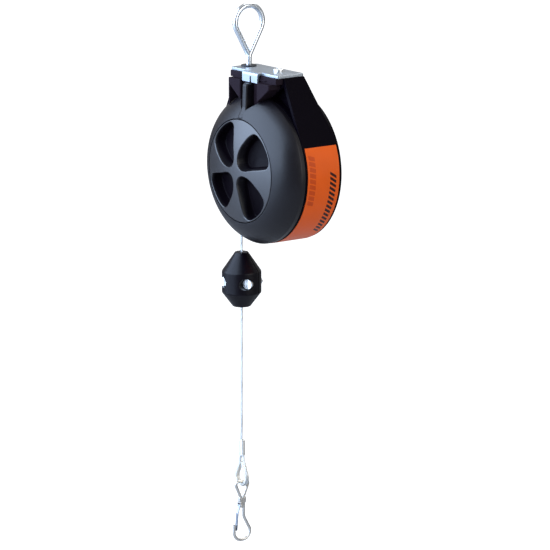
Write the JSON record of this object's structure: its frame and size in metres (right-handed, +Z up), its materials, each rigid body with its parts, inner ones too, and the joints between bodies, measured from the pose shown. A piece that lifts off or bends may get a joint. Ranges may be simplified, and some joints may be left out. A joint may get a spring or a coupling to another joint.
{
  "type": "tool balancer",
  "caption": "Round spring balancer on a swivel eye; its rope passes a clamped stop and ends in a snap hook that carries a hand tool.",
  "frame": {"origin": "under the crown of the suspension eye, where the hook that holds the balancer bears", "axes": "+Z up along the suspension, the knob faces -Y, the rope leaves the drum on the -X side"},
  "size_m": [0.1202, 0.0634, 0.4456],
  "materials": {
    "shell_plastic": "injection moulded black plastic, satin gloss",
    "cover_plastic": "injection moulded dark grey plastic with fine spark texture",
    "knob_plastic": "injection moulded dark grey plastic, satin",
    "guide_plastic": "black acetal",
    "stop_plastic": "injection moulded black plastic",
    "label_film": "plain orange self-adhesive film",
    "zinc_sheet": "zinc plated pressed steel",
    "zinc_rod": "zinc plated bent steel rod",
    "zinc_screw": "bright zinc plated",
    "hook_steel": "zinc plated spring wire",
    "spring_steel": "blued spring steel",
    "turned_steel": "turned steel",
    "blackened_steel": "blackened steel",
    "bronze": "sintered bronze",
    "drum_aluminium": "die-cast aluminium",
    "ferrule_aluminium": "pressed aluminium",
    "rope_steel": "galvanised wire rope"
  },
  "bodies": {
    "suspension": {"suspension_eye": "zinc_rod", "eye_nut": "turned_steel", "eye_washer": "blackened_steel"},
    "housing": {"rear_shell": "shell_plastic", "front_cover": "cover_plastic", "neck_cover": "shell_plastic", "label": "label_film", "cover_screws": "zinc_screw", "suspension_plate": "zinc_sheet", "plate_bolt": "zinc_screw", "cover_bush": "bronze", "rear_bush": "bronze", "pawl": "spring_steel", "pawl_screw": "zinc_screw", "rope_guide": "guide_plastic", "rope_inner": "rope_steel"},
    "tension": {"knob": "knob_plastic", "knob_pin": "turned_steel", "arbor": "turned_steel", "ratchet_wheel": "turned_steel", "arbor_clip": "spring_steel"},
    "drum": {"drum": "drum_aluminium", "drum_lid": "drum_aluminium", "lid_screws": "zinc_screw", "drum_bush_front": "bronze", "drum_bush_rear": "bronze", "mainspring": "spring_steel", "rope_windings": "rope_steel"},
    "rope_end": {"rope_upper": "rope_steel", "rope_lower": "rope_steel", "stop_half_front": "stop_plastic", "stop_half_rear": "stop_plastic", "stop_screws": "zinc_screw", "stop_nuts": "turned_steel", "ferrule": "ferrule_aluminium", "rope_eye": "rope_steel", "thimble": "zinc_sheet"},
    "hook": {"snap_hook": "hook_steel", "hook_collar": "hook_steel", "gate_pin": "hook_steel"},
    "gate": {"gate": "spring_steel"}
  },
  "joints": [
    {"name": "eye_swivel", "type": "hinge", "parent": "suspension", "child": "housing", "pos_m": [0, 0, -0.05], "axis": [0, 0, 1], "continuous": true},
    {"name": "knob_turn", "type": "hinge", "parent": "housing", "child": "tension", "pos_m": [0.0245, -0.011, -0.125], "axis": [0, -1, 0], "continuous": true},
    {"name": "drum_spin", "type": "hinge", "parent": "housing", "child": "drum", "pos_m": [0.0245, -0.011, -0.125], "axis": [0, -1, 0], "range_deg": [-26, 2470], "stiffness_Nm_per_rad": 0.02, "springref_deg": -44.63, "deforming": ["mainspring"]},
    {"name": "rope_pull", "type": "slide", "parent": "housing", "child": "rope_end", "axis": [0, 0, -1], "range_m": [-0.016, 1.5], "deforming": ["rope_upper"]},
    {"name": "hook_swing", "type": "hinge", "parent": "rope_end", "child": "hook", "pos_m": [-0.0102, 0, -0.39038], "axis": [0, 1, 0], "range_deg": [-60, 60]},
    {"name": "gate_open", "type": "hinge", "parent": "hook", "child": "gate", "pos_m": [-0.0102, -0.0017, -0.41078], "axis": [1, 0, 0], "range_deg": [0, 24], "stiffness_Nm_per_rad": 0.03, "springref_deg": -17.19}
  ],
  "couplings": [
    {"joint": "rope_pull", "follows": "drum_spin", "m_per_rad": 0.0347}
  ]
}
